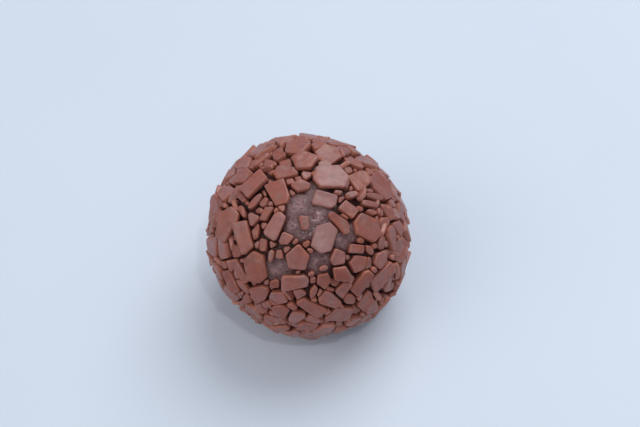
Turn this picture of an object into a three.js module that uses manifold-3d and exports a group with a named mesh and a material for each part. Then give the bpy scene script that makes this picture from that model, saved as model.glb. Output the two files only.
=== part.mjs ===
// A brigadeiro: a hand-rolled ball of cocoa fudge coated all over with flat chocolate flakes.
// The flakes are pressed into the fudge, so the sweet is one solid out to its uneven coat.
// Millimetres, +Z up. The origin is the middle of the flat spot that it rests on.
import * as THREE from "three";
import { mergeVertices } from "three/addons/utils/BufferGeometryUtils.js";
import Module from "manifold-3d";

// ---------- Driving dimensions ----------

const BALL_WIDTH = 34.4; // across the widest part, over the flakes
const BALL_FLATNESS = 0.91; // the short axis over the long one
const SHORT_AXIS_LEAN = 20; // degrees from upright towards +X
const BALL_SETTLE = 1.5; // how much lower the ball stands than a whole one, on its flat spot
const FOOT_TIGHTNESS = 2.5; // higher is a tighter bend between the side and the flat spot
const LUMP_DEPTH = 0.22; // the finger marks of hand rolling
// The waves that the finger marks are summed from: how fast each runs along X, Y and Z, and its start.
const LUMP_WAVES = [
  [3.1, 0, 1.7, 0.6],
  [0, 2.7, -3.3, 2.1],
  [4.3, 4.3, 0, 0.4],
];

const FLAKE_THICKNESS = 1.15;
const FLAKE_ROOT = 1.1; // how far the fudge holds a flake's body below its own surface
const FLAKE_STANDS = 0.8; // a flake's outer face over the fudge around it
const STICK_DEPTH = 2.2; // a flake that stands on edge: how deep it is, outer edge to inner
const SUNK = 0.3; // how much lower a half-buried flake sits
const RIDING = 0.6; // how much higher a flake sits that lies across its neighbours
const RIDING_SPACE = 5; // at least, from one riding flake to the next one's edge
const RIDING_OFFSET = 2; // at least, from a riding flake's middle to that of one under it
const LOWEST_RIDING = 5; // above the floor
const FLAKE_GAP = 0.24; // between the edges of neighbours
const LARGEST_TILT = 12; // degrees, of a strewn flake off the fudge's own slope
const FOOT_SLOPE = 10; // degrees, up to which the fudge counts as the flat foot, with flakes lying flush
const SMALLEST_AREA = 3.6; // square millimetres, of a strewn flake that isn't on edge
const SMALLEST_FACE_AREA = 1.6; // square millimetres, of a flake of the face
const SHORTEST_EDGE = 0.45;

const FACE_ELEVATION = 53; // the face axis: towards -Y, and this many degrees above the horizon
const FACE_DISTANCE = 250; // the face is laid out as it looks from this far out along its axis
const FACE_LEAN = 0.25; // how much the flakes round the face's border lean back towards its axis
const FACE_TILT = 5; // degrees, the largest besides that lean
const FUDGE_DETAIL = 3; // of the icosahedron that the fudge is made from
const SEED = 20;

// Outlines of a flake of length and width 1, anticlockwise, with the long way along the first number.
const OUTLINES = {
  brick: [[-0.5, -0.42], [0.42, -0.5], [0.5, 0.36], [-0.38, 0.5]],
  wedge: [[-0.5, -0.5], [0.42, -0.36], [0.5, 0.2], [0.3, 0.42], [-0.42, 0.5]],
  gem: [[0.5, -0.06], [0.08, 0.5], [-0.44, 0.38], [-0.5, -0.3], [0.04, -0.5]],
  slab: [[-0.5, -0.12], [-0.3, -0.5], [0.36, -0.44], [0.5, 0.02], [0.22, 0.5], [-0.4, 0.4]],
  kite: [[-0.5, 0.05], [-0.12, -0.5], [0.42, -0.26], [0.5, 0.14], [0.0, 0.5]],
  shard: [[-0.5, -0.5], [0.5, -0.26], [0.34, 0.26], [-0.24, 0.5]],
  stick: [[-0.5, -0.2], [-0.36, -0.5], [0.4, -0.46], [0.5, 0.16], [0.36, 0.5], [-0.42, 0.46]],
};
const PLATES = ["brick", "wedge", "gem", "slab", "kite", "shard"];
const OUTLINES_FOR = { flat: PLATES, riding: PLATES, "on edge": ["stick"] };

// The flakes of the face, each placed by how far right and up of the face axis its middle looks to be,
// then its length, its width, the turn of its long way in degrees, its outline and how it lies.
const FACE_FLAKES = [
  [-1.8, -3.5, 4.7, 4.3, 92, "gem", "flat"],
  [2.8, -0.1, 5.7, 4.1, 68, "slab", "sunk"],
  [5.2, 2.2, 5.3, 2.9, -36, "slab", "flat"],
  [10.3, 1.5, 5.8, 4.4, -32, "slab", "flat"],
  [2.9, 6.5, 4.7, 3.2, -9, "brick", "sunk"],
  [3.9, 9.9, 6.5, 4.6, -6, "slab", "riding"],
  [8.9, 9.6, 4.6, 3.7, 25, "wedge", "flat"],
  [12.5, 8.5, 5.4, 4.6, -46, "slab", "flat"],
  [7.0, 4.7, 3.4, 2.3, -34, "brick", "flat"],
  [8.1, 7.3, 4.6, 1.3, 14, "stick", "on edge"],
  [11.5, 6.7, 4.8, 1.3, -13, "stick", "on edge"],
  [9.6, 5.8, 5.8, 1.3, -16, "stick", "on edge"],
  [10.8, 4.1, 2.8, 1.3, -4, "stick", "on edge"],
  [13.7, 4.2, 3.6, 2.6, -62, "wedge", "flat"],
  [5.0, -3.3, 3.4, 3.1, 105, "gem", "flat"],
  [8.3, -2.1, 3.0, 1.7, 0, "brick", "flat"],
  [10.6, -2.4, 3.4, 1.8, -52, "shard", "flat"],
  [8.8, -4.5, 3.6, 3.1, 40, "gem", "flat"],
  [12.5, -3.8, 3.8, 3.0, 64, "gem", "flat"],
  [5.5, -6.3, 4.0, 3.1, -30, "kite", "riding"],
  [2.7, -7.7, 2.9, 2.6, -80, "gem", "flat"],
  [9.2, -8.0, 5.4, 2.7, 60, "brick", "flat"],
  [12.7, -6.9, 5.8, 2.9, 52, "brick", "flat"],
  [6.3, -9.0, 3.4, 2.4, 50, "wedge", "flat"],
  [-2.3, -7.9, 5.2, 3.0, 4, "wedge", "flat"],
  [3.9, -10.8, 5.2, 3.0, -22, "slab", "flat"],
  [0.6, -12.0, 5.5, 2.9, -33, "brick", "flat"],
  [10.1, -10.9, 4.6, 2.8, 55, "brick", "flat"],
  [5.3, -13.3, 5.2, 3.2, 3, "brick", "flat"],
  [-4.9, -10.4, 3.4, 2.8, -20, "gem", "flat"],
  [-8.2, -9.8, 4.1, 3.2, 18, "wedge", "flat"],
  [-4.6, -12.7, 3.4, 3.2, 10, "gem", "flat"],
  [-9.1, -5.3, 5.8, 4.2, 97, "slab", "flat"],
  [-11.1, -0.1, 6.4, 3.3, -72, "brick", "flat"],
  [-5.6, 1.9, 5.3, 2.9, 62, "wedge", "flat"],
  [-3.9, -0.2, 3.5, 2.7, 12, "gem", "flat"],
  [-7.7, -1.4, 3.2, 1.4, 85, "stick", "on edge"],
  [-8.8, 0.7, 3.0, 1.9, 75, "kite", "flat"],
  [-9.5, 2.9, 3.0, 2.8, 30, "gem", "flat"],
  [-5.1, 7.5, 5.1, 3.7, -66, "wedge", "flat"],
  [-1.4, 8.8, 3.9, 2.6, 0, "kite", "flat"],
  [-3.7, 10.8, 5.0, 3.2, -10, "slab", "flat"],
  [-0.4, 12.8, 4.7, 4.3, 15, "gem", "riding"],
  [3.4, 14.1, 4.6, 4.2, 20, "slab", "flat"],
  [-9.2, 8.7, 5.4, 3.2, 46, "brick", "riding"],
  [-11.0, 10.4, 3.8, 3.3, 20, "gem", "flat"],
  [-9.2, 5.9, 3.8, 1.4, 50, "stick", "on edge"],
  [-7.2, 6.9, 4.3, 1.4, 68, "stick", "on edge"],
  [-11.6, 4.9, 4.8, 1.2, -66, "stick", "on edge"],
  [-13.6, 1.9, 6.4, 4.2, 76, "slab", "riding"],
  [-11.8, -5.9, 5.2, 1.9, -57, "brick", "flat"],
  [-13.2, -7.7, 4.8, 2.6, -58, "brick", "flat"],
  [15.6, -2.4, 4.6, 3.4, 82, "slab", "flat"],
  [15.5, 1.2, 4.8, 2.6, -58, "brick", "flat"],
  [-0.6, 2.4, 2.8, 1.9, -80, "wedge", "sunk"],
  [-2.8, 6.2, 2.2, 1.2, 72, "stick", "on edge"],
  [-6.2, 3.9, 2.7, 1.4, 76, "stick", "on edge"],
  [-4.7, -3.1, 2.4, 2.1, 40, "kite", "flat"],
  [-6.3, -3.4, 2.5, 1.3, 82, "stick", "on edge"],
  [2.9, -5.7, 2.3, 1.8, 10, "gem", "flat"],
  [-5.6, -8.1, 2.3, 1.8, -15, "kite", "flat"],
  [0.9, -9.5, 2.7, 1.3, 60, "stick", "on edge"],
  [12.5, -1.1, 2.5, 1.3, 84, "stick", "on edge"],
  [-2.4, -11.8, 2.8, 2.1, 12, "wedge", "flat"],
];

// The flake in the middle of the foot.
const FOOT_FLAKE = { length: 6.2, width: 4.8, outline: "slab" };

// Round patches of the face, by how far right and up of the face axis they look, and their radius,
// where the fudge shows and no more flakes lie.
const BARE_PATCHES = [
  [-1.2, 5.0, 2.2],
  [-1.0, 2.2, 2.4],
  [1.9, 3.6, 1.9],
  [1.3, 8.2, 1.2],
  [7.7, 0.6, 1.0],
  [-5.3, -5.9, 1.9],
  [1.9, -4.6, 1.6],
  [6.2, -0.8, 1.0],
];

// The flakes of the rest of the coat, strewn largest first until each kind has found its places.
// keep is the share of itself that a flake must keep when it is broken off to fit its gap,
// and snug is how many neighbours must have broken some of it off, so that it fills the gap.
const STREWN = [
  { most: 26, tries: 3000, long: [5.0, 6.4], wide: [3.4, 4.6], snug: 0, keep: 0.85, lie: "flat" },
  { most: 70, tries: 12000, long: [4.0, 5.2], wide: [2.6, 3.6], snug: 1, keep: 0.76, lie: "flat" },
  { most: 20, tries: 8000, long: [3.4, 5.2], wide: [1.2, 1.5], snug: 1, keep: 0.8, lie: "on edge" },
  { most: 42, tries: 20000, long: [2.8, 4.0], wide: [2.2, 3.0], snug: 2, keep: 0.66, lie: "flat" },
  { most: 7, tries: 2000, long: [3.6, 5.2], wide: [2.6, 3.8], snug: 0, keep: 1, lie: "riding" },
];

// ---------- The fudge's surface ----------

const rad = THREE.MathUtils.degToRad;
const vec = (x, y, z) => new THREE.Vector3(x, y, z);

const shortAxis = vec(Math.sin(rad(SHORT_AXIS_LEAN)), 0, Math.cos(rad(SHORT_AXIS_LEAN)));

// Distance from the middle to an egg-round surface in a unit direction.
function roundRadius(direction, longRadius, shortRadius) {
  const along = direction.dot(shortAxis);
  return 1 / Math.hypot(along / shortRadius, Math.sqrt(1 - along * along) / longRadius);
}

const outerLong = BALL_WIDTH / 2;
const outerShort = outerLong * BALL_FLATNESS;
const centre = vec(0, 0, roundRadius(vec(0, 0, -1), outerLong, outerShort) - BALL_SETTLE);

// Shallow rolls and dips, a few to the ball, from -1 to 1.
function lumps(direction) {
  const waves = LUMP_WAVES.map(([x, y, z, start]) => Math.sin(direction.dot(vec(x, y, z)) + start));
  return waves.reduce((sum, wave) => sum + wave) / waves.length;
}

// Distance from the middle to the fudge: the lumpy round ball, eased into a flat foot
// that leaves room for the flakes under it.
function fudgeRadius(direction) {
  const long = outerLong - FLAKE_STANDS;
  const short = outerShort - FLAKE_STANDS;
  const round = roundRadius(direction, long, short) + LUMP_DEPTH * lumps(direction);
  if (direction.z >= 0) return round;
  const foot = (centre.z - FLAKE_STANDS) / -direction.z;
  const nearest = Math.min(round, foot);
  const further = Math.max(round, foot);
  return nearest - Math.log(1 + Math.exp(FOOT_TIGHTNESS * (nearest - further))) / FOOT_TIGHTNESS;
}

function fudgePoint(direction) {
  return direction.clone().multiplyScalar(fudgeRadius(direction)).add(centre);
}

function fudgeNormal(direction) {
  const step = 0.02;
  const side = vec(0, 0, 1).cross(direction);
  if (side.length() < 0.1) side.set(1, 0, 0).cross(direction);
  side.normalize();
  const other = direction.clone().cross(side);
  const here = fudgePoint(direction);
  const aside = fudgePoint(direction.clone().addScaledVector(side, step).normalize()).sub(here);
  const beyond = fudgePoint(direction.clone().addScaledVector(other, step).normalize()).sub(here);
  return aside.cross(beyond).normalize();
}

// ---------- The face's own directions ----------

const faceAxis = vec(0, -Math.cos(rad(FACE_ELEVATION)), Math.sin(rad(FACE_ELEVATION)));
const faceRight = vec(1, 0, 0);
const faceUp = faceAxis.clone().cross(faceRight);

// The direction, from the ball's middle, of the coat that looks to be right and up of the face axis,
// and the true size of what looks 1 long there.
function faceSpot(right, up) {
  const seen = faceRight.clone().multiplyScalar(right).addScaledVector(faceUp, up);
  const passes = 5;
  let radius = outerLong;
  let size = 1;
  let direction;
  for (let pass = 0; pass < passes; pass++) {
    const depth = Math.sqrt(Math.max(radius * radius - size * size * seen.lengthSq(), 1));
    size = 1 - depth / FACE_DISTANCE;
    direction = seen.clone().multiplyScalar(size).addScaledVector(faceAxis, depth).normalize();
    radius = fudgeRadius(direction) + FLAKE_STANDS;
  }
  return { direction, size };
}

const barePatches = BARE_PATCHES.map(([right, up, radius]) => {
  const { direction, size } = faceSpot(right, up);
  return { middle: fudgePoint(direction), radius: radius * size };
});

// ---------- Chance ----------

// A linear congruential generator, so that the same flakes are laid every time.
const MULTIPLIER = 1664525;
const INCREMENT = 1013904223;
const MODULUS = 2 ** 32;

let chanceState = SEED;
function chance() {
  chanceState = (Math.imul(chanceState, MULTIPLIER) + INCREMENT) >>> 0;
  return chanceState / MODULUS;
}
const between = (low, high) => low + (high - low) * chance();

function anyDirection() {
  const z = between(-1, 1);
  const turn = between(0, 2 * Math.PI);
  const across = Math.sqrt(1 - z * z);
  return vec(across * Math.cos(turn), across * Math.sin(turn), z);
}

// ---------- Flat outlines ----------

const cross2 = (a, b) => a.x * b.y - a.y * b.x;

function area(outline) {
  return outline.reduce((sum, p, i) => sum + cross2(p, outline[(i + 1) % outline.length]), 0) / 2;
}

function middleOf(outline) {
  const middle = new THREE.Vector2();
  outline.forEach((p, i) => {
    const q = outline[(i + 1) % outline.length];
    middle.addScaledVector(p.clone().add(q), cross2(p, q));
  });
  return middle.divideScalar(6 * area(outline));
}

// What is left of an outline on the side of a line that the unit vector away points to.
function cutBy(outline, through, away) {
  const height = (p) => p.clone().sub(through).dot(away);
  const kept = [];
  outline.forEach((p, i) => {
    const q = outline[(i + 1) % outline.length];
    const hp = height(p);
    const hq = height(q);
    if (hp >= 0) kept.push(p);
    if (hp * hq < 0) kept.push(p.clone().lerp(q, hp / (hp - hq)));
  });
  return kept;
}

// The outline broken off along whichever edge of its neighbour leaves most of it.
function brokenOff(outline, neighbour) {
  let best = [];
  neighbour.forEach((p, i) => {
    const edge = neighbour[(i + 1) % neighbour.length].clone().sub(p).normalize();
    const away = new THREE.Vector2(edge.y, -edge.x);
    const kept = cutBy(outline, p.clone().addScaledVector(away, FLAKE_GAP), away);
    if (kept.length > 2 && (best.length === 0 || area(kept) > area(best))) best = kept;
  });
  return best;
}

// Corners closer together than the shortest edge become one.
function withoutShortEdges(outline) {
  return outline.filter((p, i) => p.distanceTo(outline[(i + 1) % outline.length]) > SHORTEST_EDGE);
}

// ---------- Flakes ----------

// A flat-lying frame on the fudge, with its long way as near as it can be to the wanted one.
// Under the foot every frame is level, so that the flakes there share one flat face.
function frameAt(direction, wantedLong) {
  const at = fudgePoint(direction);
  const outward = fudgeNormal(direction);
  const level = -outward.z > Math.cos(rad(FOOT_SLOPE));
  if (level) {
    outward.set(0, 0, -1);
    at.z = FLAKE_STANDS;
  }
  const long = wantedLong.clone().addScaledVector(outward, -wantedLong.dot(outward)).normalize();
  return { at, outward, long, wide: outward.clone().cross(long), level };
}

const inFrame = (frame, point) => {
  const offset = point.clone().sub(frame.at);
  return new THREE.Vector2(offset.dot(frame.long), offset.dot(frame.wide));
};
const fromFrame = (frame, flat, height) =>
  frame.at
    .clone()
    .addScaledVector(frame.long, flat.x)
    .addScaledVector(frame.wide, flat.y)
    .addScaledVector(frame.outward, height);

const LIES = {
  flat: { top: FLAKE_STANDS, depth: FLAKE_STANDS + FLAKE_ROOT },
  sunk: { top: FLAKE_STANDS - SUNK, depth: FLAKE_STANDS + FLAKE_ROOT },
  riding: { top: FLAKE_STANDS + RIDING, depth: FLAKE_THICKNESS },
  "on edge": { top: FLAKE_STANDS, depth: STICK_DEPTH },
};

const flakes = [];

function nearby(frame, reach) {
  const sameSide = flakes.filter((flake) => flake.outward.dot(frame.outward) > 0);
  return sameSide.filter((flake) => flake.at.distanceTo(frame.at) < reach + flake.reach);
}

// Lays one flake on the fudge if it keeps enough of itself beside those already there,
// and says whether it did.
function lay({ direction, wantedLong, length, width, outline, lie, keep, least, snug = 0, lean = 0, tilt }) {
  const frame = frameAt(direction, wantedLong);
  const whole = OUTLINES[outline].map(([x, y]) => new THREE.Vector2(x * length, y * width));
  let fitted = whole;
  let broken = 0;
  if (lie !== "riding") {
    for (const neighbour of nearby(frame, length / 2)) {
      if (neighbour.lie === "riding") continue;
      const kept = brokenOff(fitted, neighbour.corners.map((c) => inFrame(frame, c)));
      if (kept.length < 3) return false;
      if (area(kept) < area(fitted)) broken++;
      fitted = kept;
    }
  }
  if (broken < snug) return false;
  fitted = withoutShortEdges(fitted);
  if (fitted.length < 3 || area(fitted) < Math.max(keep * area(whole), least)) return false;
  const middle = middleOf(fitted);
  const settled = frameAt(fromFrame(frame, middle, 0).sub(centre).normalize(), frame.long);
  const steepest = settled.level ? 0 : rad(tilt);
  settled.outward
    .addScaledVector(faceAxis, lean)
    .addScaledVector(settled.long, between(-steepest, steepest))
    .addScaledVector(settled.wide, between(-steepest, steepest))
    .normalize();
  settled.long.addScaledVector(settled.outward, -settled.long.dot(settled.outward)).normalize();
  settled.wide = settled.outward.clone().cross(settled.long);
  const flat = fitted.map((p) => p.clone().sub(middle));
  flakes.push({
    ...settled,
    lie,
    flat,
    corners: flat.map((p) => fromFrame(settled, p, 0)),
    reach: Math.max(...flat.map((p) => p.length())),
  });
  return true;
}

// Whether a flake can ride here: on the far side, well over the floor, apart from other riding flakes
// and across a gap rather than square on top of one flake.
function roomToRide(direction, wantedLong) {
  const frame = frameAt(direction, wantedLong);
  if (direction.dot(faceAxis) > 0 || frame.at.z < LOWEST_RIDING) return false;
  if (flakes.some((flake) => flake.at.distanceTo(frame.at) < RIDING_OFFSET)) return false;
  return nearby(frame, RIDING_SPACE).every((flake) => flake.lie !== "riding");
}

lay({
  direction: vec(0, 0, -1),
  wantedLong: faceRight,
  ...FOOT_FLAKE,
  lie: "flat",
  keep: 1,
  least: SMALLEST_AREA,
  tilt: 0,
});

for (const [right, up, length, width, turn, outline, lie] of FACE_FLAKES) {
  const { direction, size } = faceSpot(right, up);
  const seenLong = faceRight.clone().applyAxisAngle(faceAxis, rad(turn));
  const outward = fudgeNormal(direction);
  const wantedLong = seenLong.addScaledVector(faceAxis, -seenLong.dot(outward) / outward.dot(faceAxis));
  lay({
    direction,
    wantedLong,
    length: length * size,
    width: width * size,
    outline,
    lie,
    keep: 0.3,
    least: SMALLEST_FACE_AREA,
    lean: FACE_LEAN,
    tilt: FACE_TILT,
  });
}

for (const kind of STREWN) {
  for (let laid = 0, tried = 0; laid < kind.most && tried < kind.tries; tried++) {
    const direction = anyDirection();
    const wantedLong = anyDirection();
    const length = between(...kind.long);
    const width = between(...kind.wide);
    const outlines = OUTLINES_FOR[kind.lie];
    const outline = outlines[Math.floor(between(0, outlines.length))];
    const here = fudgePoint(direction);
    if (barePatches.some((patch) => patch.middle.distanceTo(here) < patch.radius)) continue;
    if (kind.lie === "riding" && !roomToRide(direction, wantedLong)) continue;
    const least = kind.lie === "on edge" ? 0 : SMALLEST_AREA;
    if (lay({ ...kind, direction, wantedLong, length, width, outline, least, tilt: LARGEST_TILT })) laid++;
  }
}

// ---------- Solids ----------

const wasm = await Module();
wasm.setup();

function solidOf(geometry) {
  const bare = geometry.index ? geometry.toNonIndexed() : geometry.clone();
  bare.deleteAttribute("normal");
  bare.deleteAttribute("uv");
  const merged = mergeVertices(bare, 1e-4);
  return new wasm.Manifold(
    new wasm.Mesh({
      numProp: 3,
      vertProperties: merged.attributes.position.array,
      triVerts: new Uint32Array(merged.index.array),
    }),
  );
}

function geometryOf(solid) {
  const mesh = solid.getMesh();
  const geometry = new THREE.BufferGeometry();
  geometry.setAttribute("position", new THREE.BufferAttribute(mesh.vertProperties, 3));
  geometry.setIndex(new THREE.BufferAttribute(mesh.triVerts, 1));
  const faceted = geometry.toNonIndexed();
  faceted.computeVertexNormals();
  return faceted;
}

function fudgeSolid() {
  const geometry = new THREE.IcosahedronGeometry(1, FUDGE_DETAIL);
  const position = geometry.attributes.position;
  for (let i = 0; i < position.count; i++) {
    const point = fudgePoint(new THREE.Vector3().fromBufferAttribute(position, i).normalize());
    position.setXYZ(i, point.x, point.y, point.z);
  }
  return solidOf(geometry);
}

function flakeSolid(flake) {
  const { top, depth } = LIES[flake.lie];
  const geometry = new THREE.ExtrudeGeometry(new THREE.Shape(flake.flat), { depth, bevelEnabled: false });
  const place = new THREE.Matrix4().makeBasis(flake.long, flake.wide, flake.outward).setPosition(flake.at);
  geometry.translate(0, 0, top - depth);
  geometry.applyMatrix4(place);
  return solidOf(geometry);
}

function belowFloor() {
  const side = 2 * BALL_WIDTH;
  return solidOf(new THREE.BoxGeometry(side, side, side).translate(0, 0, -side / 2));
}

function coatedBall() {
  let ball = fudgeSolid();
  for (const flake of flakes) ball = ball.add(flakeSolid(flake));
  return ball.subtract(belowFloor());
}

// ---------- The part ----------

const chocolate = new THREE.MeshStandardMaterial({ color: 0x8a5a4e, roughness: 0.5, metalness: 0 });
const brigadeiro = new THREE.Mesh(geometryOf(coatedBall()), chocolate);
brigadeiro.name = "brigadeiro";

const part = new THREE.Group();
part.add(brigadeiro);
export default part;
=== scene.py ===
"""A brigadeiro: a ball of moist cocoa fudge under a coat of flat milk chocolate flakes.

The CAD solid says where every flake lies. Each flake is made again here as a plate with rounded corners
and rims, the fudge as a finely grained core, and the gaps between the flakes get the smaller broken bits.
Lengths are in millimetres until a mesh is made; Blender's own are metres.
"""

import math
from dataclasses import dataclass, field, replace

import bpy
import numpy as np
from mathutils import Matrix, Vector, kdtree, noise


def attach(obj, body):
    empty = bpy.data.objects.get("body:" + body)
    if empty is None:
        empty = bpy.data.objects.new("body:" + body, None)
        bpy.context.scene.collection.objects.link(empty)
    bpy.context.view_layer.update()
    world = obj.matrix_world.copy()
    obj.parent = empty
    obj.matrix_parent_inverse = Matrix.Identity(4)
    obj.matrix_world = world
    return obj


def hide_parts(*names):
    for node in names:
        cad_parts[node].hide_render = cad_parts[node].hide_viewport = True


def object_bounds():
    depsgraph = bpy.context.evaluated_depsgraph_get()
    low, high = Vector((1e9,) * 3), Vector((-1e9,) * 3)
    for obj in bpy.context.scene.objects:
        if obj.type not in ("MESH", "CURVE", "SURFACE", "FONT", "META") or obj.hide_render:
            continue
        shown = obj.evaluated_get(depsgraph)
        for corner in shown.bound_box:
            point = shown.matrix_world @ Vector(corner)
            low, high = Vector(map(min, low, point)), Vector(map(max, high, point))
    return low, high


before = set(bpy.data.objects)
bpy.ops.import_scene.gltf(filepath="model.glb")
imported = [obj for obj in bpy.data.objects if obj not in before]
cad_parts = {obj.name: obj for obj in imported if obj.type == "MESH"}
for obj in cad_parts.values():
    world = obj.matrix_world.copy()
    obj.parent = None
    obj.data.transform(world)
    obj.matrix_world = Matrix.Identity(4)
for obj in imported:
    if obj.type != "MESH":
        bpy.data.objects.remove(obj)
cad_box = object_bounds()

MM = 0.001
NODE = "brigadeiro"
BODY = "root"

# ---------- The ball, as in the CAD ----------

BALL_WIDTH = 34.4  # across the widest part, over the flakes
BALL_FLATNESS = 0.91  # the short axis over the long one
SHORT_AXIS_LEAN = 20  # degrees from upright towards +X
BALL_SETTLE = 1.5
FOOT_TIGHTNESS = 2.5
LUMP_DEPTH = 0.22
LUMP_WAVES = ((3.1, 0, 1.7, 0.6), (0, 2.7, -3.3, 2.1), (4.3, 4.3, 0, 0.4))
FLAKE_STANDS = 0.8  # a flake's outer face over the fudge around it
FLAKE_THICKNESS = 1.15
ROOTED_DEPTH = 1.9  # a flake pressed into the fudge, down to where the deepest gaps show
STICK_DEPTH = 2.2  # a flake that stands on edge
WIDEST_STICK = 1.65
STICK_TAPER = 0.4  # how much narrower its ends are than its middle
LEAST_RIDING = 1.2  # over the fudge, of the face of a flake that lies across others
MOST_SUNK = 0.62  # over the fudge, of the face of a half-buried flake
LEAST_FILMED = 5  # square millimetres, of a half-buried flake with a film of fudge over it
FACE_ELEVATION = 53  # degrees above the horizon, towards -Y: the face axis
FACE_DISTANCE = 250  # the face is laid out as it looks from this far out along its axis

# Round patches of the face where the fudge shows: how far right and up of the face axis they look,
# and their radius.
BARE_PATCHES = (
    (-1.2, 5.0, 2.2),
    (-1.0, 2.2, 2.4),
    (1.9, 3.6, 1.9),
    (1.3, 8.2, 1.2),
    (7.7, 0.6, 1.0),
    (-5.3, -5.9, 1.9),
    (1.9, -4.6, 1.6),
    (6.2, -0.8, 1.0),
)
# Wet spots of the bare fudge, placed likewise.
WET_SPOTS = (
    (1.2, 3.8, 0.8),
    (0.6, -0.1, 0.8),
    (-3.4, -2.6, 0.45),
)

# ---------- The coat's finer shape ----------

CORNER_RADIUS = (0.32, 0.75)  # of a large flake's outline, least and most
RIM_RADIUS = 0.2  # of the edge between a flake's face and its side
EDGE_WAVE = 0.09  # how far a large flake's outline strays from straight
LARGE_RADIUS = 0.6  # a corner's, up to which the outline strays less
TIPPING = (0, 5)  # degrees by which a flake is tipped to some side, least and most
FACE_WARP = 0.1  # below its face, down to which a flake's side is painted darker: painted shade at its foot, in the gaps
FACE_DOME = (0.0, 0.12)  # how much lower the face's border lies than its middle, least and most
SHADED_FOOT_DEPTH = 1.3  # below its face, where a flake's side is smeared dark with fudge
CORNER_SHARE = (0.4, 0.24)  # a small flake's share of the corner radius, and how it grows with its reach
RIM_VARIES = (0.75, 1.3)
RIM_LIMIT = 0.8  # of what the corner radius leaves beside the waves of the edge
WAVE_ROOM = 1.8  # times the wave, kept free of the rim
WAVE_VARIES = 0.4
WAVE_CYCLES = (2, 3, 5, 7)  # round the outline
WAVE_STRENGTHS = (0.2, 1)
FULL_DOME_REACH = 2
FACE_RINGS = ((0.55, 0.0), (0.86, 0.15))  # inside the rim: the share of the way out, the nearness to it
SIDE_INSET = 0.02
FOOT_INSET = 0.05
RIM_STARTS = 0.4  # a point's nearness to the rim where the rounding starts
FOOT_FADE = 0.6
FINE_ARC, COARSE_ARC = 26, 40  # degrees between points round a corner
EDGE_STEP = 0.75  # between points along an edge
FINE_RIM, COARSE_RIM = (0.0, 0.34, 0.67, 1.0), (0.0, 0.5, 1.0)  # shares of the rim's quarter turn
FINE_FOOT, COARSE_FOOT = (0.0, 0.5, 1.0), (0.0, 1.0)

# What tells a flake's outer face on the CAD solid.
MOST_BEND = 0.6  # degrees between triangles of one face
SMALLEST_FACE = 1.3  # square millimetres
LEAST_OUTWARD = 0.75  # cosine of the angle between the face and straight out
LEAST_SHARP = 0.5  # share of its rim that falls away sharply
SHARP_DROP = 0.01
SHARP_BEND = 0.7  # cosine of the angle between the two sides of a sharp edge
STICK_SLENDERNESS = 1.8  # how many times as long as wide a stick is, at least

RANDOM_SEED = 7
TINY = 1e-12
SHORT = 1e-3

rng = np.random.default_rng(RANDOM_SEED)


def unit(vectors):
    return vectors / np.maximum(np.linalg.norm(vectors, axis=-1, keepdims=True), TINY)


# ---------- The fudge's surface ----------

lean = math.radians(SHORT_AXIS_LEAN)
short_axis = np.array([math.sin(lean), 0, math.cos(lean)])
outer_long = BALL_WIDTH / 2
outer_short = outer_long * BALL_FLATNESS


def round_radius(directions, long_radius, short_radius):
    """The distance from the middle to an egg-round surface, in unit directions."""
    along = directions @ short_axis
    across = np.sqrt(np.maximum(1 - along**2, 0))
    return 1 / np.hypot(along / short_radius, across / long_radius)


centre = np.array([0, 0, round_radius(np.array([0, 0, -1.0]), outer_long, outer_short) - BALL_SETTLE])


def fudge_radius(directions):
    """The distance from the middle to the fudge: a lumpy ball eased into a flat foot."""
    waves = [np.sin(directions @ np.array(wave[:3]) + wave[3]) for wave in LUMP_WAVES]
    round_part = round_radius(directions, outer_long - FLAKE_STANDS, outer_short - FLAKE_STANDS)
    round_part = round_part + LUMP_DEPTH * np.mean(waves, axis=0)
    foot = (centre[2] - FLAKE_STANDS) / np.maximum(-directions[..., 2], SHORT)
    nearest = np.minimum(round_part, foot)
    further = np.maximum(round_part, foot)
    eased = nearest - np.log1p(np.exp(FOOT_TIGHTNESS * (nearest - further))) / FOOT_TIGHTNESS
    return np.where(directions[..., 2] >= 0, round_part, eased)


def fudge_point(directions):
    return centre + directions * fudge_radius(directions)[..., None]


def fudge_normal(direction):
    """The outward normal of the fudge in one direction."""
    step = 0.02
    side = np.cross([0, 0, 1.0], direction)
    if np.linalg.norm(side) < 0.1:
        side = np.cross([1.0, 0, 0], direction)
    side = unit(side)
    other = np.cross(direction, side)
    near = np.array([direction, direction + step * side, direction + step * other])
    here, aside, beyond = fudge_point(unit(near))
    return unit(np.cross(aside - here, beyond - here))


face_up_angle = math.radians(FACE_ELEVATION)
face_axis = np.array([0, -math.cos(face_up_angle), math.sin(face_up_angle)])
face_right = np.array([1.0, 0, 0])
face_up = np.cross(face_axis, face_right)


def face_patch(right, up, radius):
    """The middle and the true radius of a patch, from how far right and up of the face axis it looks."""
    seen = right * face_right + up * face_up
    size = 1.0
    reach = outer_long
    for _ in range(5):
        depth = math.sqrt(max(reach**2 - size**2 * (seen @ seen), 1))
        size = 1 - depth / FACE_DISTANCE
        direction = unit(size * seen + depth * face_axis)
        reach = fudge_radius(direction) + FLAKE_STANDS
    return fudge_point(direction), radius * size


bare_patches = [face_patch(*patch) for patch in BARE_PATCHES]
wet_spots = [face_patch(*spot) for spot in WET_SPOTS]


# ---------- Flat outlines ----------


def cross2(a, b):
    return a[..., 0] * b[..., 1] - a[..., 1] * b[..., 0]


def area(outline):
    return cross2(outline, np.roll(outline, -1, axis=0)).sum() / 2


def middle_of(outline):
    following = np.roll(outline, -1, axis=0)
    weights = cross2(outline, following)
    return ((outline + following) * weights[:, None]).sum(axis=0) / (3 * weights.sum())


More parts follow.
